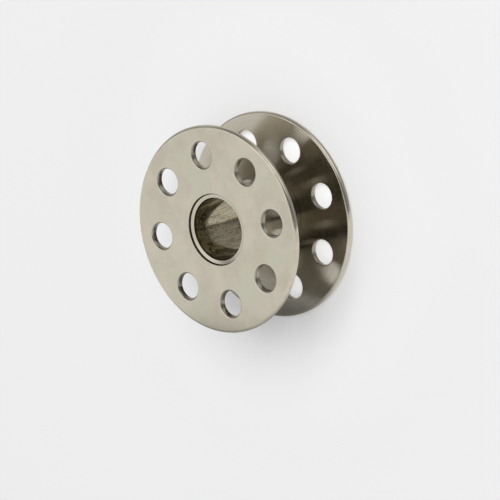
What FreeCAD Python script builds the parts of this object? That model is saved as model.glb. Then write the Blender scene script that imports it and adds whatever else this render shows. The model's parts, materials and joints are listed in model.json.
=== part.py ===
import FreeCAD, Part
import os
import Sketcher

# A metal bobbin for a sewing machine: a turned hub with a stamped flange pressed on to each end.
# It stands on one flange, with its axis on +Z and the origin at the centre of its base.

# Driving dimensions in millimetres and degrees, each with the reason for it.
SIZES = [
    ("flange_diameter", 20.3, "outside of both flanges"),
    ("overall_width", 8.4, "from the outer face of one flange to that of the other"),
    ("flange_thickness", 0.65, "sheet that the flanges are stamped from"),
    ("rim_rounding", 0.28, "radius of the rim's edge on a flange's outer face"),
    ("rim_bevel", 0.16, "bevel of the rim's edge on a flange's inner face"),
    ("bore_diameter", 6.1, "spindle hole through the hub"),
    ("spigot_wall", 0.45, "wall of the hub where it passes through a flange"),
    ("shoulder_step", 0.6, "step on the hub that a flange seats against"),
    ("end_recess", 0.15, "how far the hub's ends lie below the flange faces"),
    ("end_cone", 0.13, "how far a staked end slopes down from its outside to the bore"),
    ("edge_break", 0.08, "bevel on the other edges"),
    ("hole_count", 8, "holes in each flange"),
    ("hole_diameter", 2.5, "holes in the flanges"),
    ("rim_land", 1.6, "metal left between a hole and the rim"),
    ("upper_turn", -7.4, "turn of the upper flange about the axis"),
    ("lower_turn", 1.9, "turn of the lower flange about the axis"),
]

# Sizes that follow from the driving ones, as expressions on the sheet.
RIM_RADIUS = "Sizes.flange_diameter / 2"
BORE_RADIUS = "Sizes.bore_diameter / 2"
SPIGOT_RADIUS = f"({BORE_RADIUS} + Sizes.spigot_wall)"
HUB_RADIUS = f"({SPIGOT_RADIUS} + Sizes.shoulder_step)"
HOLE_RADIUS = "Sizes.hole_diameter / 2"
HOLE_CENTRE = f"({RIM_RADIUS} - Sizes.rim_land - {HOLE_RADIUS})"
LOWER_SEAT = "Sizes.flange_thickness"
UPPER_SEAT = "(Sizes.overall_width - Sizes.flange_thickness)"

# A rounding or a bevel takes at most this share of the wall that it is on.
WALL_SHARE = 0.45

LENGTH_TOLERANCE = 1e-6
FULL_TURN = 360.0


def make_sheet(doc):
    """Puts the driving dimensions in a sheet, one row each: name, value, reason."""
    sheet = doc.addObject("Spreadsheet::Sheet", "Sizes")
    for row, (name, value, reason) in enumerate(SIZES, start=1):
        sheet.set(f"A{row}", name)
        sheet.set(f"B{row}", str(value))
        sheet.set(f"C{row}", reason)
        sheet.setAlias(f"B{row}", name)
    doc.recompute()
    return sheet


def make_body(doc, label):
    """Makes an empty body whose name and label are the sub-part's name."""
    body = doc.addObject("PartDesign::Body", label)
    body.Label = label
    return body


def origin_feature(body, role):
    """Finds one of a body's own origin planes or axes."""
    return next(item for item in body.Origin.OriginFeatures if item.Role == role)


def make_sketch(body, name, plane):
    """Makes an empty sketch on one of the body's origin planes."""
    sketch = body.newObject("Sketcher::SketchObject", name)
    sketch.AttachmentSupport = [(origin_feature(body, plane), "")]
    sketch.MapMode = "FlatFace"
    return sketch


def bind(sketch, constraint, name, expression):
    """Adds a constraint under a name and ties its value to the sheet."""
    index = sketch.addConstraint(constraint)
    sketch.renameConstraint(index, name)
    sketch.setExpression(f"Constraints.{name}", expression)


def add_circle(sketch, name, radius, centre=None):
    """Draws a circle on the origin, or at an offset along the sketch's first axis."""
    start_radius = 1.0
    start_offset = 0.0 if centre is None else 5.0
    place = FreeCAD.Vector(start_offset, 0, 0)
    curve = Part.Circle(place, FreeCAD.Vector(0, 0, 1), start_radius)
    index = sketch.addGeometry(curve, False)
    if centre is None:
        sketch.addConstraint(Sketcher.Constraint("Coincident", index, 3, -1, 1))
    else:
        sketch.addConstraint(Sketcher.Constraint("PointOnObject", index, 3, -1))
        offset = Sketcher.Constraint("DistanceX", -1, 1, index, 3, start_offset)
        bind(sketch, offset, f"{name}_offset", centre)
    bind(sketch, Sketcher.Constraint("Radius", index, start_radius), f"{name}_radius", radius)


def same(first, second):
    """Tells whether two lengths are the same."""
    return abs(first - second) < LENGTH_TOLERANCE


def circle_edges(shape, radius, levels):
    """Names the shape's full circular edges of one radius at any of the given heights."""
    names = []
    for number, edge in enumerate(shape.Edges, start=1):
        if not (isinstance(edge.Curve, Part.Circle) and edge.isClosed()):
            continue
        on_level = any(same(edge.Curve.Center.z, level) for level in levels)
        if on_level and same(edge.Curve.Radius, radius):
            names.append(f"Edge{number}")
    return names


def finish_edges(body, kind, name, edges, size, wall):
    """Rounds or bevels the named edges of the body's last feature, within the wall that they are on."""
    base = body.Tip
    finish = body.newObject(f"PartDesign::{kind}", name)
    finish.Base = (base, edges)
    size_name = {"Fillet": "Radius", "Chamfer": "Size"}[kind]
    finish.setExpression(size_name, f"min({size}; {WALL_SHARE} * {wall})")
    body.Tip = finish
    body.Document.recompute()


def make_flange(doc, sheet, label, turn, outer_level, inner_level):
    """Stamps a flange: a disc with a central hole, a ring of holes and finished edges.

    The rim's edge is rolled over on the outer face and bevelled on the inner one. The holes' edges are bevelled
    a little.
    """
    body = make_body(doc, label)

    outline = make_sketch(body, f"{label}_outline", "XY_Plane")
    add_circle(outline, "rim", RIM_RADIUS)
    add_circle(outline, "seat", SPIGOT_RADIUS)
    blank = body.newObject("PartDesign::Pad", f"{label}_blank")
    blank.Profile = outline
    blank.setExpression("Length", "Sizes.flange_thickness")
    doc.recompute()

    mark = make_sketch(body, f"{label}_hole_mark", "XY_Plane")
    add_circle(mark, "hole", HOLE_RADIUS, HOLE_CENTRE)
    hole = body.newObject("PartDesign::Pocket", f"{label}_hole")
    hole.Profile = mark
    hole.Type = "ThroughAll"
    hole.Reversed = True
    doc.recompute()
    if hole.Shape.Volume >= blank.Shape.Volume:
        raise RuntimeError(f"{label}: the hole cuts nothing")

    ring = body.newObject("PartDesign::PolarPattern", f"{label}_hole_ring")
    ring.Originals = [hole]
    ring.Axis = (origin_feature(body, "Z_Axis"), [""])
    ring.Angle = FULL_TURN
    ring.setExpression("Occurrences", "Sizes.hole_count")
    body.Tip = ring
    doc.recompute()

    rim_radius = sheet.flange_diameter / 2
    rolled = circle_edges(body.Tip.Shape, rim_radius, [outer_level])
    finish_edges(body, "Fillet", f"{label}_rim", rolled, "Sizes.rim_rounding", "Sizes.flange_thickness")

    turned = circle_edges(body.Tip.Shape, rim_radius, [inner_level])
    finish_edges(body, "Chamfer", f"{label}_rim_bevel", turned, "Sizes.rim_bevel", "Sizes.flange_thickness")

    seat_radius = sheet.bore_diameter / 2 + sheet.spigot_wall
    bevelled = []
    for radius in (seat_radius, sheet.hole_diameter / 2):
        bevelled += circle_edges(body.Tip.Shape, radius, [outer_level, inner_level])
    finish_edges(body, "Chamfer", f"{label}_edges", bevelled, "Sizes.edge_break", "Sizes.flange_thickness")

    body.setExpression("Placement.Rotation.Angle", turn)
    return body


def make_hub(doc, sheet):
    """Turns the hub: a stepped section revolved about the axis, with coned ends."""
    body = make_body(doc, "hub")
    section = make_sketch(body, "hub_section", "XZ_Plane")

    lower_end = "Sizes.end_recess"
    upper_end = "(Sizes.overall_width - Sizes.end_recess)"
    # Corners of the section, round from the lower mouth of the bore: radius, height.
    corners = [
        (BORE_RADIUS, f"{lower_end} + Sizes.end_cone"),
        (SPIGOT_RADIUS, lower_end),
        (SPIGOT_RADIUS, LOWER_SEAT),
        (HUB_RADIUS, LOWER_SEAT),
        (HUB_RADIUS, UPPER_SEAT),
        (SPIGOT_RADIUS, UPPER_SEAT),
        (SPIGOT_RADIUS, upper_end),
        (BORE_RADIUS, f"{upper_end} - Sizes.end_cone"),
    ]
    # A first drawing with the same steps, which the constraints then bring to size.
    drawn = [(1, 2), (2, 1), (2, 3), (3, 3), (3, 4), (2, 4), (2, 6), (1, 5)]
    for index, start in enumerate(drawn):
        end = drawn[(index + 1) % len(drawn)]
        line = Part.LineSegment(FreeCAD.Vector(*start, 0), FreeCAD.Vector(*end, 0))
        section.addGeometry(line, False)
    for index, (radius, height) in enumerate(corners):
        before = (index - 1) % len(corners)
        section.addConstraint(Sketcher.Constraint("Coincident", before, 2, index, 1))
        across = Sketcher.Constraint("DistanceX", -1, 1, index, 1, drawn[index][0])
        bind(section, across, f"radius_{index}", radius)
        up = Sketcher.Constraint("DistanceY", -1, 1, index, 1, drawn[index][1])
        bind(section, up, f"height_{index}", height)

    turned = body.newObject("PartDesign::Revolution", "hub_turned")
    turned.Profile = section
    turned.ReferenceAxis = (section, ["V_Axis"])
    turned.Angle = FULL_TURN
    body.Tip = turned
    doc.recompute()

    ends = [sheet.end_recess, sheet.overall_width - sheet.end_recess]
    spigot_radius = sheet.bore_diameter / 2 + sheet.spigot_wall
    spigot_edges = circle_edges(turned.Shape, spigot_radius, ends)
    finish_edges(body, "Chamfer", "hub_end_edges", spigot_edges, "Sizes.edge_break", "Sizes.spigot_wall")
    return body


def check(doc, bodies):
    """Stops if any object failed or any sub-part isn't one valid solid."""
    for item in doc.Objects:
        if "Invalid" in item.State or "Error" in item.State:
            raise RuntimeError(f"{item.Name} failed: {item.State}")
    for body in bodies:
        if body.Shape.isNull() or not body.Shape.isValid():
            raise RuntimeError(f"{body.Label} has no valid shape")
        if len(body.Shape.Solids) != 1:
            raise RuntimeError(f"{body.Label} isn't one solid")


def main():
    doc = FreeCAD.newDocument("bobbin")
    sheet = make_sheet(doc)
    thickness = sheet.flange_thickness
    hub = make_hub(doc, sheet)
    upper = make_flange(doc, sheet, "upper_flange", "Sizes.upper_turn", thickness, 0.0)
    upper.setExpression("Placement.Base.z", UPPER_SEAT)
    lower = make_flange(doc, sheet, "lower_flange", "Sizes.lower_turn", 0.0, thickness)
    doc.recompute()
    bodies = [hub, upper, lower]
    check(doc, bodies)
    os.makedirs("parts", exist_ok=True)
    for body in bodies:
        body.Shape.exportStep(f"parts/{body.Label}.step")
        box = body.Shape.BoundBox
        print(f"{body.Label}: volume {body.Shape.Volume:.3f} mm3, height {box.ZMin:.3f} to {box.ZMax:.3f}")


main()
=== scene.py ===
"""Looks of a metal sewing machine bobbin, modelled around its packed solids.

A turned hub carries two punched flanges. Each piece is drawn again here at its solid's size, with the
rolled edges, the hairline joint round the bore and the finish of its plating.
"""

import itertools
import json
import math

import bpy
from bpy.props import FloatProperty, FloatVectorProperty, IntProperty, PointerProperty
from mathutils import Matrix, Vector


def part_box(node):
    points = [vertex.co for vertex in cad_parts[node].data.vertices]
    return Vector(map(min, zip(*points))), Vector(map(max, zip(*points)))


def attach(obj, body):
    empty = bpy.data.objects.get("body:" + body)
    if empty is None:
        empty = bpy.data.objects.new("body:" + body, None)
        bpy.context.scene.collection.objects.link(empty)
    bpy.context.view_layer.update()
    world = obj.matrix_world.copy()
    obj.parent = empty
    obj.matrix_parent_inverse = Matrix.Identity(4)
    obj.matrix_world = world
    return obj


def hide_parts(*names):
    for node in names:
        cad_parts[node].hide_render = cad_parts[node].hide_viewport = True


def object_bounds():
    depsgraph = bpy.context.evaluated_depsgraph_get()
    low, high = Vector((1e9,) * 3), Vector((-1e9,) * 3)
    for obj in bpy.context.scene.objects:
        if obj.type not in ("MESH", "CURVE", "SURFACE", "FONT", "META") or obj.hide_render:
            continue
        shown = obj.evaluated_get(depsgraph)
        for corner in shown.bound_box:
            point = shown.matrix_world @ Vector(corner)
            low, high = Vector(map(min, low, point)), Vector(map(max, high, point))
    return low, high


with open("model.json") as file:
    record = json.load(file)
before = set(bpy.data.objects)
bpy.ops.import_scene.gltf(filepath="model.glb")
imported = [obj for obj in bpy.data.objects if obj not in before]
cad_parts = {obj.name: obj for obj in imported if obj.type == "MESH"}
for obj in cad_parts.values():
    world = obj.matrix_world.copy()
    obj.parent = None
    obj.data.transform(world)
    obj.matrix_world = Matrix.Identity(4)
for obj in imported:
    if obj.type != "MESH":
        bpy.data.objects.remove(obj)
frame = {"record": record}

bl_info = {
    "name": "Sewing Machine Bobbin",
    "version": (1, 0, 0),
    "blender": (4, 5, 0),
    "location": "3D View > Sidebar > Bobbin",
    "description": "Builds the flanges and the hub of a metal bobbin, and the studio they stand in",
    "category": "Object",
}

MM = 0.001
BODY = "root"
CAD_LOW, CAD_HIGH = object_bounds()
UPPER_LOW, UPPER_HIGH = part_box("upper_flange")
LOWER_LOW, LOWER_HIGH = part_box("lower_flange")
HUB_LOW, HUB_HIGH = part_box("hub")
MOUNTS = {mount["name"]: mount["dims"] for mount in frame["record"]["mounts"]}

# Points closer than this are one point of a mesh.
WELD = 2e-8
# How finely the pieces are drawn: steps round a rounded corner and round the hub, steps along the rim, the
# sides and the centre of a flange's sector, and rings of faces between a thread hole and its sector's edge.
ARC_STEPS = 7
LATHE_STEPS = 224
RIM_STEPS = 32
SIDE_STEPS = 13
CENTRE_STEPS = 14
FACE_RINGS = 6

# Range that nearly all of a noise lies in.
NOISE_LOW = 0.3
NOISE_HIGH = 0.7
# Sockets that the mix node keeps for colours.
MIX_FIRST = 6
MIX_SECOND = 7
MIX_RESULT = 2
WHITE = (1.0, 1.0, 1.0, 1.0)
# A quarter turn, in turns, which lays a stretched reflection across the turning marks.
QUARTER_TURN = 0.25
# Band of painted shade just inside each mouth of the bore: the depths at which it starts and is full, in
# millimetres.
MOUTH_SHADE_START = 0.35
MOUTH_SHADE_FULL = 0.15

# The studio in the bobbin's frame: the ceiling's direction, the light of the table below it and of the
# room, and how softly they meet.
CEILING = Vector((0.927, -0.370, 0.0)).normalized()
TABLE_LEVEL = 0.88
ROOM_LEVEL = 0.2
HORIZON = 0.03
# The even light on the floor, and the backdrop beyond it.
AMBIENT_LEVEL = 0.62
BACKDROP_LEVEL = 0.86
# Soft panels seen in the metal: direction, cosines of their outer and inner edge, and added strength.
PANELS = (
    ((0.25, 0.15, 0.95), 0.76, 0.96, 0.9),
    ((0.60, -0.52, 0.61), 0.88, 0.97, 0.6),
    ((0.0, 0.69, -0.72), 0.72, 0.92, 0.5),
    ((0.45, -0.52, -0.72), 0.70, 0.92, 0.2),
    ((0.80, 0.25, -0.50), 0.80, 0.95, 0.28),
    ((0.72, 0.69, 0.0), 0.80, 0.97, 0.36),
    ((0.60, -0.73, -0.25), 0.85, 0.95, 1.0),
)
# The shade that the bobbin throws on the table, seen only in the metal: place, reach, the share of the
# reach that is darkest, and light. It lies on a round card, a little away from the rims.
SHADE_CENTRE = (-1.0 * MM, -1.3 * MM)
SHADE_REACH = (17.0 * MM, 14.0 * MM)
SHADE_CORE = 0.1
SHADE_LEVEL = 0.16
CARD_RADIUS = 60 * MM
CARD_GAP = 0.5 * MM
CARD_STEPS = 48
# The soft lamp: place and side.
KEY_PLACE = Vector((0.32, -0.36, 0.82))
KEY_SIDE = 0.75
# The floor: gap below the bobbin, its faint patches with their light and scale, and its dull surface.
FLOOR_GAP = 0.01 * MM
PATCH_LEVEL = 0.985
PATCH_SCALE = 0.05
FLOOR_ROUGHNESS = 0.9
FLOOR_SPECULAR = 0.1
# The floor's own light: how far inside the rim the glow starts to fade and ends, how many rim radii from
# the axis the lift ends, and the distances between which the far glow rises. Lengths are in millimetres.
GLOW_START = 0.8
GLOW_END = 0.1
LIFT_REACH = 2.5
FAR_START = 50.0
FAR_END = 1100.0
# How near to itself the camera sees, as a share of its distance.
CLIP_SHARE = 0.1


def length(name, default, description):
    """A property that holds a length in metres."""
    return FloatProperty(
        name=name, description=description, default=default, min=0.0, precision=6, unit="LENGTH"
    )


def angle(name, default, description):
    """A property that holds an angle, given here in degrees."""
    return FloatProperty(
        name=name, description=description, default=math.radians(default), subtype="ANGLE"
    )


def share(name, default, description):
    """A property that holds a value from nothing to all."""
    return FloatProperty(
        name=name, description=description, default=default, min=0.0, max=1.0, subtype="FACTOR"
    )


def colour(name, default, description):
    """A property that holds a linear colour."""
    return FloatVectorProperty(
        name=name, description=description, default=default, size=3, min=0.0, max=1.0, subtype="COLOR"
    )


class BobbinFlangeSizes(bpy.types.PropertyGroup):
    """Sizes of the two punched flanges."""

    rim_radius: length("Rim radius", min(UPPER_HIGH.x, UPPER_HIGH.y), "Radius of the flange's rim")
    centre_radius: length("Centre hole", 3.5 * MM, "Radius of the hole that sits on the hub")
    hole_radius: length("Thread hole", 1.25 * MM, "Radius of each thread hole")
    ring_radius: length("Hole ring", 7.3 * MM, "Radius of the ring on which the thread holes lie")
    hole_count: IntProperty(
        name="Thread holes", description="Thread holes in each flange", default=8, min=3
    )
    upper_turn: angle("Upper turn", -7.4, "Angle of a thread hole of the upper flange from the X axis")
    lower_turn: angle("Lower turn", 1.9, "Angle of a thread hole of the lower flange from the X axis")
    rim_rounding: length("Rim rounding", 0.28 * MM, "Rounding of the rim on the outer face")
    inner_rim_rounding: length("Inner rim rounding", 0.22 * MM, "Rounding of the rim on the inner face")
    rolled_rounding: length("Rolled edge", 0.26 * MM, "Rounding where the punch entered the outer face")
    sheared_rounding: length("Sheared edge", 0.11 * MM, "Rounding of the thread holes on the inner face")
    centre_rounding: length("Centre edge", 0.035 * MM, "Rounding of the edges of the centre hole")


class BobbinHubSizes(bpy.types.PropertyGroup):
    """Sizes of the turned hub."""

    bore_radius: length("Bore radius", MOUNTS["bore"]["r_mm"] * MM, "Radius of the spindle bore")
    bore_length: length("Bore length", MOUNTS["bore"]["length_mm"] * MM, "Straight length of the bore")
    barrel_radius: length("Barrel radius", min(HUB_HIGH.x, HUB_HIGH.y), "Radius that thread is wound on")
    joint_gap: length("Joint gap", 0.035 * MM, "Hairline between the hub's end and the flange")
    seat_gap: length("Seat gap", 0.01 * MM, "Hairline between the hub's shoulder and the flange")
    end_rounding: length("End rounding", 0.05 * MM, "Rounding of the edges of the hub's ends")
    root_rounding: length("Root rounding", 0.02 * MM, "Rounding in the corner below each shoulder")


class BobbinFinish(bpy.types.PropertyGroup):
    """Colours and gloss of the plated metal, and the shade painted on it."""

    plate_pale: colour("Pale plate", (0.635, 0.586, 0.484), "Clean nickel plate on the outer faces")
    plate_deep: colour("Deep plate", (0.567, 0.523, 0.43), "Dull patches of the plate")
    tarnish: colour("Tarnish", (0.59, 0.576, 0.459), "Faint yellow-green tarnish of the plate")
    # Colour of the thread holes' walls between their rolled mouths, darker than the plate.
    wall_metal: colour("Hole walls", (0.38, 0.35, 0.285), "Sheared metal of the thread holes' walls")
    turned_pale: colour("Pale turned metal", (0.60, 0.56, 0.475), "Bright turning marks")
    turned_deep: colour("Deep turned metal", (0.54, 0.50, 0.42), "Dull turning marks")
    # Painted shade on the inner faces, darker towards the hub, where the flanges shade each other.
    hub_shade: colour("Oil film", (0.24, 0.215, 0.17), "Dark film on the inner faces towards the hub")
    barrel_pale: colour("Pale barrel", (0.47, 0.436, 0.358), "Bright rings of the barrel")
    barrel_deep: colour("Deep barrel", (0.39, 0.359, 0.293), "Dull rings of the barrel")
    bore_pale: colour("Pale bore", (0.45, 0.395, 0.285), "Bore wall where a spindle rubs")
    bore_deep: colour("Deep bore", (0.25, 0.215, 0.145), "Grain of the bore wall")
    bore_stain: colour("Bore stain", (0.27, 0.243, 0.163), "Stain of the bore towards its mouths")
    # Dark residue in the joint and spots of the bore's stain; the same colour is painted shade just inside
    # the bore's mouths.
    grime_and_mouth_shade: colour("Grime", (0.075, 0.058, 0.036), "Dark residue in the joint and at the bore's mouths")
    turned_stretch: share("Turned stretch", 0.75, "How far the turning marks stretch a reflection")


class BobbinStage(bpy.types.PropertyGroup):
    """Floor, camera and light."""

    floor_colour: colour("Floor", (0.86, 0.86, 0.865), "Colour of the plain floor")
    floor_size: length("Floor size", 6.0, "Side of the square floor")
    camera_distance: length("Camera distance", 400 * MM, "From the upper flange's centre to the camera")
    camera_tilt: angle("Camera tilt", 43.73, "Angle between the bobbin's axis and the view")
    camera_roll: angle("Camera roll", -106.41, "Turn of the camera about its view")
    camera_right: length("Camera right", 3.274 * MM, "Shift of the camera to the right of the picture")
    camera_down: length("Camera down", 1.941 * MM, "Shift of the camera to the bottom of the picture")
    camera_lens: FloatProperty(
        name="Lens", description="Focal length of the camera", default=300.4, subtype="DISTANCE_CAMERA"
    )
    key_power: FloatProperty(
        name="Key power", description="Power of the key lamp", default=5.0, min=0.0, unit="POWER"
    )
    glow: share("Glow", 0.45, "Light of the ground below the bobbin, which shows through its holes")
    lift: share("Lift", 0.06, "Light of the ground round the bobbin, which softens its shadow")
    far_glow: share("Far glow", 0.27, "Light of the far floor, which blends it with the backdrop")


class MeshDraft:
    """Points, normals and faces of a piece while it is drawn. Points in one place are shared."""

    def __init__(self):
        self.places = []
        self.normals = []
        self.faces = []
        self.finishes = []
        self.known = {}

    def point(self, place, normal):
        """Index of the point at a place, made if it isn't there yet.

        A point is filed in each cell of a grid that it lies in or close to, so that points closer than the
        weld always share a cell.
        """
        grid = 2 * WELD
        near = (-WELD / 2, WELD / 2)
        spans = [{math.floor((value + step) / grid) for step in near} for value in place]
        cells = list(itertools.product(*spans))
        for cell in cells:
            if cell in self.known:
                return self.known[cell]
        index = len(self.places)
        self.known.update((cell, index) for cell in cells)
        self.places.append(Vector(place))
        self.normals.append(Vector(normal).normalized())
        return index

    def face(self, corners, finish):
        """A face that looks the way its points' normals do."""
        first, second, third, fourth = (self.places[corner] for corner in corners)
        lean = (third - first).cross(fourth - second)
        wanted = sum((self.normals[corner] for corner in corners), Vector())
        self.faces.append(corners if lean.dot(wanted) > 0 else corners[::-1])
        self.finishes.append(finish)

    def net(self, rings, finishes):
        """Faces between neighbouring closed rings of points, each pair of rings with its finish."""
        for ring, following, finish in zip(rings, rings[1:], finishes):
            for column in range(len(ring)):
                ahead = (column + 1) % len(ring)
                self.face((ring[column], ring[ahead], following[ahead], following[column]), finish)

    def piece(self, name, materials):
        """The drawn piece as an object, with one material for each finish."""
        order = list(materials)
        mesh = bpy.data.meshes.new(name)
        mesh.from_pydata(self.places, [], self.faces)
        mesh.polygons.foreach_set("material_index", [order.index(finish) for finish in self.finishes])
        mesh.shade_smooth()
        mesh.normals_split_custom_set_from_vertices(self.normals)
        for finish in order:
            mesh.materials.append(materials[finish])
        if mesh.validate():
            raise RuntimeError(f"the mesh of {name} had faults")
        made = bpy.data.objects.new(name, mesh)
        bpy.context.scene.collection.objects.link(made)
        return made


def corner_arc(before, corner, after, rounding):
    """Points and outward normals round a corner of a section, whose outside is on the left of travel."""
    back = (before - corner).normalized()
    ahead = (after - corner).normalized()
    half = back.angle(ahead) / 2
    centre = corner + (back + ahead).normalized() * (rounding / math.sin(half))
    start = corner + back * (rounding / math.tan(half))
    first = Vector((back.y, -back.x))
    last = Vector((-ahead.y, ahead.x))
    turn = math.atan2(first.x * last.y - first.y * last.x, first.dot(last))
    side = math.copysign(rounding, (start - centre).dot(first))
    arc = []
    for step in range(ARC_STEPS + 1):
        normal = Matrix.Rotation(turn * step / ARC_STEPS, 2) @ first
        arc.append((centre + normal * side, normal))
    return arc


def rounded_section(before, corners, after):
    """Points and normals along a section. Each corner is a place and its rounding."""
    places = [Vector(before), *(Vector(place) for place, _ in corners), Vector(after)]
    section = []
    for index, (_, rounding) in enumerate(corners):
        section.append(corner_arc(*places[index : index + 3], rounding))
    return section


def polar(radius, turn):
    """A point of the XY plane."""
    return Vector((radius * math.cos(turn), radius * math.sin(turn)))


def sector_outline(inner, outer, spread):
    """Edge of a flange's sector round its thread hole, from the rim's arc on, in the sector's frame."""
    half = spread / 2
    rim = [polar(outer, half * (2 * step / RIM_STEPS - 1)) for step in range(RIM_STEPS)]
    inward = [polar(outer + (inner - outer) * step / SIDE_STEPS, half) for step in range(SIDE_STEPS)]
    centre = [polar(inner, half * (1 - 2 * step / CENTRE_STEPS)) for step in range(CENTRE_STEPS)]
    outward = [polar(inner + (outer - inner) * step / SIDE_STEPS, -half) for step in range(SIDE_STEPS)]
    return rim + inward + centre + outward


def axis_spots(turns):
    """Spots on the axis that look outward, one for each turn."""
    return [(Vector((0, 0)), polar(1, turn)) for turn in turns]


def swept_rings(draft, arcs, spots):
    """Rings of points of a section that is carried round spots, each an origin and a direction."""
    rings = []
    for place, normal in itertools.chain.from_iterable(arcs):
        ring = []
        for origin, direction in spots:
            flat = origin + direction * place.x
            lean = direction * normal.x
            ring.append(draft.point((*flat, place.y), (*lean, normal.y)))
        rings.append(ring)
    return rings


def sweep_section(draft, arcs, spots, finish):
    """Faces of a section that is carried round spots, all in one finish."""
    rings = swept_rings(draft, arcs, spots)
    draft.net(rings, [finish] * (len(rings) - 1))


def flange_draft(sizes, bottom, top, turn, roundings, finishes):
    """A flange between two heights. Roundings and finishes are given for its bottom and its top."""
    draft = MeshDraft()
    count = sizes.hole_count
    spread = math.tau / count
    hole_centre = Vector((sizes.ring_radius, 0))
    centre = sizes.centre_rounding
    border = sector_outline(sizes.centre_radius, sizes.rim_radius, spread)
    aims = [(place - hole_centre).normalized() for place in border]
    for height, up, (rim, edge), finish in zip((bottom, top), (-1, 1), roundings, finishes):
        outline = sector_outline(sizes.centre_radius + centre, sizes.rim_radius - rim, spread)
        for sector in range(count):
            placing = Matrix.Rotation(turn + spread * sector, 2)
            rings = []
            for step in range(FACE_RINGS + 1):
                ring = []
                for aim, far in zip(aims, outline):
                    near = hole_centre + aim * (sizes.hole_radius + edge)
                    flat = placing @ near.lerp(far, step / FACE_RINGS)
                    ring.append(draft.point((*flat, height), (0, 0, up)))
                rings.append(ring)
            draft.net(rings, [finish] * FACE_RINGS)
    (bottom_rim, bottom_edge), (top_rim, top_edge) = roundings
    # The sections end on the faces, well away from the edges that they round.
    reach = sizes.rim_radius / 2
    rim_arcs = rounded_section(
        (sizes.rim_radius - reach, top),
        [((sizes.rim_radius, top), top_rim), ((sizes.rim_radius, bottom), bottom_rim)],
        (sizes.rim_radius - reach, bottom),
    )
    start = turn - spread / 2
    rim_turns = [start + spread * step / RIM_STEPS for step in range(RIM_STEPS * count)]
    sweep_section(draft, rim_arcs, axis_spots(rim_turns), "rim")

    def hole_arcs(radius, low_rounding, high_rounding):
        """Section of a hole's wall with its two edges."""
        return rounded_section(
            (radius + reach, bottom),
            [((radius, bottom), low_rounding), ((radius, top), high_rounding)],
            (radius + reach, top),
        )

    centre_turns = [start + spread * step / CENTRE_STEPS for step in range(CENTRE_STEPS * count)]
    centre_arcs = hole_arcs(sizes.centre_radius, centre, centre)
    sweep_section(draft, centre_arcs, axis_spots(centre_turns), "joint")
    wall_arcs = hole_arcs(sizes.hole_radius, bottom_edge, top_edge)
    for sector in range(count):
        placing = Matrix.Rotation(turn + spread * sector, 2)
        middle = placing @ hole_centre
        spots = [(middle, placing @ aim) for aim in aims]
        sweep_section(draft, wall_arcs, spots, "hole")
    return draft


class NodeBoard:
    """The nodes of one material or world, added and linked one after another."""

    def __init__(self, owner):
        owner.use_nodes = True
        self.tree = owner.node_tree
        self.tree.nodes.clear()

    def add(self, kind, settings=None, **inputs):
        """A node with its settings, and a value or a link for each named input."""
        node = self.tree.nodes.new(kind)
        for name, value in (settings or {}).items():
            setattr(node, name, value)
        for name, value in inputs.items():
            self.feed(node.inputs[name.replace("_", " ")], value)
        return node

    def feed(self, socket, value):
        """Links a socket, or sets its value."""
        if isinstance(value, bpy.types.NodeSocket):
            self.tree.links.new(value, socket)
        else:
            socket.default_value = value

    def maths(self, operation, *values):
        """Result of a sum on numbers."""
        node = self.add("ShaderNodeMath", {"operation": operation})
        for socket, value in zip(node.inputs, values):
            self.feed(socket, value)
        return node.outputs["Value"]

    def vector(self, operation, *values):
        """Result of a sum on vectors."""
        node = self.add("ShaderNodeVectorMath", {"operation": operation})
        for socket, value in zip(node.inputs, values):
            self.feed(socket, value)
        return node.outputs["Value" if operation in ("LENGTH", "DOT_PRODUCT") else "Vector"]

    def scaled(self, place, scale):
        """A place with each axis multiplied."""
        return self.vector("MULTIPLY", place, scale)

    def millimetres(self):
        """Place on the piece, in millimetres."""
        place = self.add("ShaderNodeTexCoord").outputs["Object"]
        return self.scaled(place, (1 / MM,) * 3)

    def height(self, place):
        """Third coordinate of a place or a direction."""
        return self.add("ShaderNodeSeparateXYZ", Vector=place).outputs["Z"]

    def round_place(self, place, along, across):
        """Place for marks that run round the axis: its direction, its radius and its height."""
        flat = self.scaled(place, (1, 1, 0))
        direction = self.vector("NORMALIZE", flat)
        radius = self.vector("LENGTH", flat)
        line = self.maths("MULTIPLY", self.maths("ADD", radius, self.height(place)), across)
        lift = self.add("ShaderNodeCombineXYZ", Z=line).outputs["Vector"]
        return self.vector("ADD", self.scaled(direction, (along, along, 0)), lift)

    def noise(self, place, scale=1.0, detail=3.0, roughness=0.5):
        """Cloudy noise, a value near a half."""
        node = self.add(
            "ShaderNodeTexNoise", Vector=place, Scale=scale, Detail=detail, Roughness=roughness
        )
        return node.outputs["Fac"]

    def spread(self, value, low, high, to_low=0.0, to_high=1.0):
        """A value stretched from one range to another, smooth at its ends."""
        node = self.add(
            "ShaderNodeMapRange",
            {"interpolation_type": "SMOOTHSTEP"},
            Value=value,
            From_Min=low,
            From_Max=high,
            To_Min=to_low,
            To_Max=to_high,
        )
        return node.outputs["Result"]

    def roughness(self, noise, smooth, rough):
        """Roughness between two values, which follows a noise."""
        return self.spread(noise, NOISE_LOW, NOISE_HIGH, smooth, rough)

    def mix(self, amount, first, second):
        """A colour between two colours."""
        node = self.add("ShaderNodeMix", {"data_type": "RGBA"}, Factor=amount)
        for index, tint in ((MIX_FIRST, first), (MIX_SECOND, second)):
            opaque = tint if isinstance(tint, bpy.types.NodeSocket) else (*tint, 1.0)
            self.feed(node.inputs[index], opaque)
        return node.outputs[MIX_RESULT]

    def bump(self, height, depth, below=None):
        """Normal of a surface whose height goes up and down by a depth in metres."""
        node = self.add("ShaderNodeBump", Height=height, Distance=depth)
        if below is not None:
            self.feed(node.inputs["Normal"], below)
        return node.outputs["Normal"]


def metal(name, build):
    """A material whose build function draws the metal's surface on a board."""
    material = bpy.data.materials.new(name)
    board = NodeBoard(material)
    shader = build(board)
    board.add("ShaderNodeOutputMaterial", Surface=shader.outputs["BSDF"])
    return material


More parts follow.
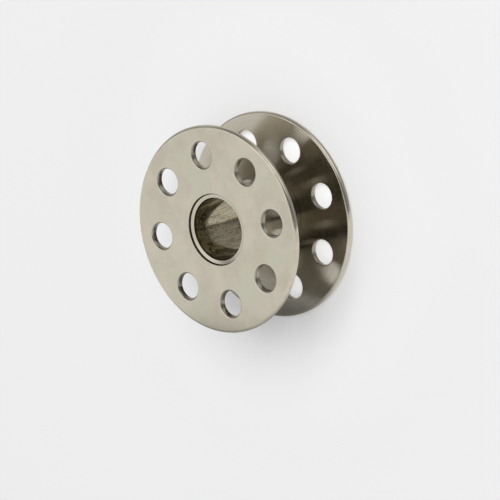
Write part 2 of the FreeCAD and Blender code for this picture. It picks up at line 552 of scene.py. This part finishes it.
def metal_shader(board, tint, gloss, normal, stretch=0.0):
    """The shader of a bare metal surface."""
    return board.add(
        "ShaderNodeBsdfPrincipled",
        Base_Color=tint,
        Metallic=1.0,
        Roughness=gloss,
        Normal=normal,
        Anisotropic=stretch,
    )


def satin_plate(finish):
    """Outer face: satin nickel plate, mottled, with a fine grain and faint scratches."""

    def build(board):
        place = board.millimetres()
        mottle = board.noise(place, scale=0.42, detail=6.0, roughness=0.6)
        grain = board.noise(place, scale=9.0, detail=2.0)
        scratch = board.noise(board.scaled(place, (0.5, 11.0, 1.0)), detail=2.0)
        haze = board.noise(place, scale=0.3, detail=2.0)
        swell = board.noise(place, scale=0.2, detail=1.0)
        dull = board.spread(mottle, low=0.36, high=0.66)
        plate = board.mix(dull, finish.plate_pale, finish.plate_deep)
        tint = board.mix(board.spread(haze, low=0.45, high=0.7), plate, finish.tarnish)
        scuffed = board.spread(scratch, low=0.63, high=0.72, to_high=0.04)
        gloss = board.maths("ADD", board.roughness(mottle, smooth=0.28, rough=0.33), scuffed)
        waves = board.bump(swell, depth=0.008 * MM)
        normal = board.bump(grain, depth=0.0008 * MM, below=waves)
        return metal_shader(board, tint, gloss, normal)

    return metal("satin_plate", build)


def turned_plate(finish):
    """Inner face: bright plate over fine turning marks round the axis, with painted shade between the
    flanges, darker towards the hub.
    """

    def build(board):
        place = board.millimetres()
        marks = board.noise(board.round_place(place, along=1.4, across=9.0), detail=4.0, roughness=0.6)
        cloud = board.noise(place, scale=0.5)
        dull = board.spread(marks, low=0.35, high=0.65)
        clean = board.mix(dull, finish.turned_pale, finish.turned_deep)
        radius = board.vector("LENGTH", board.scaled(place, (1, 1, 0)))
        # Painted shade: the inner faces darken towards the hub, between the flanges.
        clear_of_shade = board.spread(board.maths("ADD", radius, cloud), low=5.4, high=11.0)
        tint = board.mix(clear_of_shade, finish.hub_shade, clean)
        rubbed = board.maths("ADD", marks, cloud)
        gloss = board.spread(rubbed, low=0.7, high=1.3, to_low=0.12, to_high=0.19)
        normal = board.bump(marks, depth=0.0005 * MM)
        shader = metal_shader(board, tint, gloss, normal, finish.turned_stretch)
        shader.inputs["Anisotropic Rotation"].default_value = QUARTER_TURN
        tangent = board.add("ShaderNodeTangent", {"direction_type": "RADIAL", "axis": "Z"})
        board.feed(shader.inputs["Tangent"], tangent.outputs["Tangent"])
        return shader

    return metal("turned_plate", build)


def rolled_rim(finish):
    """Rim: smooth plate with a few rubbed places."""

    def build(board):
        place = board.millimetres()
        wear = board.noise(place, scale=1.1)
        streak = board.noise(board.scaled(place, (2.0, 2.0, 9.0)))
        tint = board.mix(board.spread(wear, low=0.4, high=0.7), finish.plate_pale, finish.plate_deep)
        gloss = board.roughness(wear, smooth=0.16, rough=0.24)
        return metal_shader(board, tint, gloss, board.bump(streak, depth=0.0012 * MM))

    return metal("rolled_rim", build)


def punched_wall(finish):
    """Walls of the thread holes: plate that rolls in at the mouths, and a darker colour between them."""

    def build(board):
        place = board.millimetres()
        wear = board.noise(place, scale=1.3)
        facing = board.add("ShaderNodeTexCoord").outputs["Normal"]
        lean = board.maths("ABSOLUTE", board.height(facing))
        tint = board.mix(board.spread(lean, low=0.8, high=1.0), finish.wall_metal, finish.plate_pale)
        gloss = board.roughness(wear, smooth=0.22, rough=0.3)
        return metal_shader(board, tint, gloss, board.bump(wear, depth=0.0006 * MM))

    return metal("punched_wall", build)


def joint_grime(finish):
    """Dark residue in the hairline where a flange sits on the hub."""

    def build(board):
        place = board.millimetres()
        crust = board.noise(place, scale=6.0)
        tint = board.mix(board.spread(crust, low=0.45, high=0.75), finish.grime_and_mouth_shade, finish.bore_deep)
        gloss = board.roughness(crust, smooth=0.45, rough=0.65)
        return metal_shader(board, tint, gloss, board.bump(crust, depth=0.004 * MM))

    return metal("joint_grime", build)


def turned_barrel(finish):
    """Barrel of the hub: dull turned metal with fine rings."""

    def build(board):
        place = board.millimetres()
        rings = board.noise(board.round_place(place, along=0.8, across=7.0), detail=4.0, roughness=0.6)
        cloud = board.noise(place, scale=0.7)
        dull = board.spread(rings, low=0.35, high=0.65)
        tint = board.mix(dull, finish.barrel_pale, finish.barrel_deep)
        gloss = board.roughness(cloud, smooth=0.14, rough=0.2)
        return metal_shader(board, tint, gloss, board.bump(rings, depth=0.0004 * MM))

    return metal("turned_barrel", build)


def staked_ring(finish):
    """Ends of the hub: bright rings, rubbed smooth."""

    def build(board):
        place = board.millimetres()
        rub = board.noise(board.round_place(place, along=2.0, across=3.0))
        tint = board.mix(board.spread(rub, low=0.35, high=0.7), finish.plate_deep, finish.turned_pale)
        gloss = board.roughness(rub, smooth=0.18, rough=0.26)
        return metal_shader(board, tint, gloss, board.bump(rub, depth=0.001 * MM))

    return metal("staked_ring", build)


def bore_wall(finish, mouth):
    """Bore: grainy wall with drag marks along the axis, stained towards its mouths, with painted shade just
    inside them.

    The mouths are this far from its middle, in millimetres.
    """

    def build(board):
        place = board.millimetres()
        middle = (HUB_LOW.z + HUB_HIGH.z) / 2 / MM
        drag = board.noise(board.scaled(place, (6.0, 6.0, 0.6)))
        grain = board.noise(place, scale=4.5, roughness=0.65)
        spots = board.noise(place, scale=2.6, roughness=0.6)
        dark = board.spread(board.maths("ADD", grain, drag), low=0.85, high=1.2)
        clean = board.mix(dark, finish.bore_pale, finish.bore_deep)
        stained = board.mix(board.spread(spots, low=0.5, high=0.62), finish.bore_stain, finish.grime_and_mouth_shade)
        from_middle = board.maths("ABSOLUTE", board.maths("SUBTRACT", board.height(place), middle))
        towards_mouth = board.spread(board.maths("ADD", from_middle, grain), low=2.3, high=3.0)
        # Painted shade just inside each mouth of the bore.
        mouth_shade_mask = board.spread(from_middle, mouth - MOUTH_SHADE_START, mouth - MOUTH_SHADE_FULL)
        tint = board.mix(mouth_shade_mask, board.mix(towards_mouth, clean, stained), finish.grime_and_mouth_shade)
        gloss = board.roughness(grain, smooth=0.07, rough=0.15)
        normal = board.bump(grain, depth=0.004 * MM, below=board.bump(drag, depth=0.0015 * MM))
        return metal_shader(board, tint, gloss, normal)

    return metal("bore_wall", build)


class BOBBIN_OT_add_hub(bpy.types.Operator):
    """Adds the turned hub that carries both flanges"""

    bl_idname = "bobbin.add_hub"
    bl_label = "Add Hub"

    def execute(self, context):
        sizes = context.scene.bobbin_hub
        flange = context.scene.bobbin_flange
        finish = context.scene.bobbin_finish
        middle = (HUB_LOW.z + HUB_HIGH.z) / 2
        spigot = flange.centre_radius - sizes.joint_gap
        mouth = sizes.bore_length / 2
        end = (HUB_HIGH.z - HUB_LOW.z) / 2
        seat = UPPER_LOW.z - sizes.seat_gap - middle
        # Corners of the section: radius, height, rounding, finish of the corner and of what follows.
        upper_half = [
            (sizes.bore_radius, mouth, sizes.end_rounding, "bore", "ring"),
            (spigot, end, sizes.end_rounding, "ring", "joint"),
            (spigot, seat, sizes.root_rounding, "joint", "barrel"),
            (sizes.barrel_radius, seat, sizes.end_rounding, "barrel", "barrel"),
        ]
        runs_below = ("barrel", "joint", "ring", "bore")
        lower_half = [
            (radius, -height, rounding, corner, run)
            for (radius, height, rounding, corner, _), run in zip(reversed(upper_half), runs_below)
        ]
        outline = upper_half + lower_half
        corners = [((radius, height + middle), rounding) for radius, height, rounding, _, _ in outline]
        arcs = rounded_section(corners[-1][0], corners, corners[0][0])
        draft = MeshDraft()
        turns = [math.tau * step / LATHE_STEPS for step in range(LATHE_STEPS)]
        rings = swept_rings(draft, arcs, axis_spots(turns))
        finishes = []
        for _, _, _, corner, run in outline:
            finishes += [corner] * ARC_STEPS + [run]
        draft.net(rings + rings[:1], finishes)
        materials = {
            "barrel": turned_barrel(finish),
            "ring": staked_ring(finish),
            "joint": joint_grime(finish),
            "bore": bore_wall(finish, mouth / MM),
        }
        piece = draft.piece("turned_hub", materials)
        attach(piece, BODY)
        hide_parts("hub")
        return {"FINISHED"}


class BOBBIN_OT_add_flanges(bpy.types.Operator):
    """Adds the two punched flanges, with their outer faces away from each other"""

    bl_idname = "bobbin.add_flanges"
    bl_label = "Add Flanges"

    def execute(self, context):
        sizes = context.scene.bobbin_flange
        finish = context.scene.bobbin_finish
        materials = {
            "outer": satin_plate(finish),
            "inner": turned_plate(finish),
            "rim": rolled_rim(finish),
            "hole": punched_wall(finish),
            "joint": joint_grime(finish),
        }
        outer = (sizes.rim_rounding, sizes.rolled_rounding)
        inner = (sizes.inner_rim_rounding, sizes.sheared_rounding)
        upper = flange_draft(
            sizes, UPPER_LOW.z, UPPER_HIGH.z, sizes.upper_turn, (inner, outer), ("inner", "outer")
        )
        lower = flange_draft(
            sizes, LOWER_LOW.z, LOWER_HIGH.z, sizes.lower_turn, (outer, inner), ("outer", "inner")
        )
        for draft, node in ((upper, "upper_flange"), (lower, "lower_flange")):
            piece = draft.piece("punched_" + node, materials)
            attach(piece, BODY)
            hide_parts(node)
        return {"FINISHED"}


def light_world(scene):
    """Surroundings: a white table on one side, a grey room on the other, and soft panels."""
    world = bpy.data.worlds.new("studio")
    scene.world = world
    board = NodeBoard(world)
    toward = board.add("ShaderNodeTexCoord").outputs["Generated"]
    height = board.vector("DOT_PRODUCT", toward, CEILING)
    level = board.spread(height, -HORIZON, HORIZON, TABLE_LEVEL, ROOM_LEVEL)
    above = board.spread(height, -HORIZON, HORIZON)
    for direction, outer, inner, strength in PANELS:
        facing = board.vector("DOT_PRODUCT", toward, Vector(direction).normalized())
        glow = board.maths("MULTIPLY", board.spread(facing, outer, inner, 0.0, strength), above)
        level = board.maths("ADD", level, glow)
    path = board.add("ShaderNodeLightPath")
    beyond = BACKDROP_LEVEL - AMBIENT_LEVEL
    plain = board.maths("MULTIPLY_ADD", path.outputs["Is Camera Ray"], beyond, AMBIENT_LEVEL)
    studio = board.maths("SUBTRACT", level, plain)
    level = board.maths("MULTIPLY_ADD", path.outputs["Is Glossy Ray"], studio, plain)
    background = board.add("ShaderNodeBackground", Color=WHITE, Strength=level)
    board.add("ShaderNodeOutputWorld", Surface=background.outputs["Background"])


def add_floor(stage):
    """The plain floor that the bobbin stands on."""
    half = stage.floor_size / 2
    mesh = bpy.data.meshes.new("floor")
    corners = [(-half, -half, 0), (half, -half, 0), (half, half, 0), (-half, half, 0)]
    mesh.from_pydata(corners, [], [(0, 1, 2, 3)])
    floor = bpy.data.objects.new("floor", mesh)
    floor.location.z = CAD_LOW.z - FLOOR_GAP
    bpy.context.scene.collection.objects.link(floor)
    material = bpy.data.materials.new("floor_paper")
    board = NodeBoard(material)
    place = board.millimetres()
    pale = Vector(stage.floor_colour)
    patches = board.noise(place, scale=PATCH_SCALE, detail=2.0)
    away = board.vector("LENGTH", board.scaled(place, (1, 1, 0)))
    rim = CAD_HIGH.x / MM
    below = board.spread(away, rim - GLOW_START, rim - GLOW_END, stage.glow, stage.lift)
    fading = board.spread(away, rim, LIFT_REACH * rim, to_low=1.0, to_high=0.0)
    beyond = board.spread(away, FAR_START, FAR_END, to_high=stage.far_glow)
    shader = board.add(
        "ShaderNodeBsdfPrincipled",
        Base_Color=board.mix(patches, pale, pale * PATCH_LEVEL),
        Roughness=FLOOR_ROUGHNESS,
        Specular_IOR_Level=FLOOR_SPECULAR,
        Emission_Color=WHITE,
        Emission_Strength=board.maths("ADD", board.maths("MULTIPLY", below, fading), beyond),
    )
    material.cycles.emission_sampling = "NONE"
    board.add("ShaderNodeOutputMaterial", Surface=shader.outputs["BSDF"])
    mesh.materials.append(material)
    floor.visible_glossy = False
    floor.visible_shadow = False
    return floor


def add_shade_card(distance_from_axis):
    """A card beside the bobbin that only its metal shows: a light table, dark where it is shaded."""
    mesh = bpy.data.meshes.new("shade_card")
    ring = [polar(CARD_RADIUS, math.tau * step / CARD_STEPS) for step in range(CARD_STEPS)]
    mesh.from_pydata([(*place, 0) for place in ring], [], [tuple(range(CARD_STEPS))])
    card = bpy.data.objects.new("shade_card", mesh)
    along = Vector((0, 0, 1))
    across = CEILING.cross(along)
    turn = Matrix((across, along, across.cross(along))).transposed()
    middle = Vector((0, 0, (CAD_LOW.z + CAD_HIGH.z) / 2))
    card.matrix_world = Matrix.Translation(middle - CEILING * distance_from_axis) @ turn.to_4x4()
    bpy.context.scene.collection.objects.link(card)
    material = bpy.data.materials.new("shade_card")
    material.cycles.emission_sampling = "NONE"
    board = NodeBoard(material)
    place = board.add("ShaderNodeTexCoord").outputs["Object"]
    offset = board.vector("SUBTRACT", place, (*SHADE_CENTRE, 0))
    shares = (*(1 / reach for reach in SHADE_REACH), 0)
    distance = board.vector("LENGTH", board.scaled(offset, shares))
    level = board.spread(distance, SHADE_CORE, 1.0, SHADE_LEVEL, TABLE_LEVEL)
    glow = board.add("ShaderNodeEmission", Strength=level)
    board.add("ShaderNodeOutputMaterial", Surface=glow.outputs["Emission"])
    mesh.materials.append(material)
    card.visible_camera = False
    card.visible_diffuse = False
    card.visible_shadow = False
    card.visible_transmission = False
    return card


def add_camera(scene, stage):
    """The camera, aimed by the upper flange's centre."""
    data = bpy.data.cameras.new("camera")
    data.lens = stage.camera_lens
    data.clip_start = stage.camera_distance * CLIP_SHARE
    data.clip_end = stage.floor_size
    camera = bpy.data.objects.new("camera", data)
    scene.collection.objects.link(camera)
    turn = Matrix.Rotation(stage.camera_tilt, 4, "X") @ Matrix.Rotation(stage.camera_roll, 4, "Z")
    offset = Vector((stage.camera_right, -stage.camera_down, stage.camera_distance))
    camera.matrix_world = Matrix.Translation((0, 0, UPPER_HIGH.z)) @ turn @ Matrix.Translation(offset)
    scene.camera = camera


def add_key_lamp(scene, stage):
    """A square soft lamp that shines on the bobbin and isn't mirrored in it."""
    data = bpy.data.lights.new("key", "AREA")
    data.shape = "SQUARE"
    data.size = KEY_SIDE
    data.energy = stage.key_power
    lamp = bpy.data.objects.new("key", data)
    lamp.location = KEY_PLACE
    lamp.rotation_mode = "QUATERNION"
    lamp.rotation_quaternion = (-KEY_PLACE).to_track_quat("-Z", "Y")
    lamp.visible_glossy = False
    scene.collection.objects.link(lamp)


class BOBBIN_OT_add_stage(bpy.types.Operator):
    """Adds the floor, the light and the camera"""

    bl_idname = "bobbin.add_stage"
    bl_label = "Add Stage"

    def execute(self, context):
        scene = context.scene
        stage = scene.bobbin_stage
        scene.view_settings.view_transform = "Standard"
        card_distance = scene.bobbin_flange.rim_radius + CARD_GAP
        add_floor(stage)
        add_shade_card(card_distance)
        light_world(scene)
        add_key_lamp(scene, stage)
        add_camera(scene, stage)
        return {"FINISHED"}


class BOBBIN_PT_panel(bpy.types.Panel):
    """Sizes, finish and pieces of the bobbin"""

    bl_idname = "BOBBIN_PT_panel"
    bl_label = "Bobbin"
    bl_space_type = "VIEW_3D"
    bl_region_type = "UI"
    bl_category = "Bobbin"

    def draw(self, context):
        for operator in OPERATORS:
            self.layout.operator(operator.bl_idname)
        for name, group in GROUPS.items():
            box = self.layout.box()
            box.label(text=group.__doc__)
            for key in group.__annotations__:
                box.prop(getattr(context.scene, name), key)


GROUPS = {
    "bobbin_flange": BobbinFlangeSizes,
    "bobbin_hub": BobbinHubSizes,
    "bobbin_finish": BobbinFinish,
    "bobbin_stage": BobbinStage,
}
OPERATORS = (BOBBIN_OT_add_hub, BOBBIN_OT_add_flanges, BOBBIN_OT_add_stage)


def register():
    """Makes the sizes, the operators and the panel known to Blender."""
    for group in (*GROUPS.values(), *OPERATORS, BOBBIN_PT_panel):
        bpy.utils.register_class(group)
    for name, group in GROUPS.items():
        setattr(bpy.types.Scene, name, PointerProperty(type=group))


def unregister():
    """Takes them away again."""
    for name in GROUPS:
        delattr(bpy.types.Scene, name)
    for group in (BOBBIN_PT_panel, *OPERATORS, *GROUPS.values()):
        bpy.utils.unregister_class(group)


def main():
    """Builds the bobbin and its stage."""
    register()
    bpy.ops.bobbin.add_hub()
    bpy.ops.bobbin.add_flanges()
    bpy.ops.bobbin.add_stage()


if __name__ == "__main__":
    main()
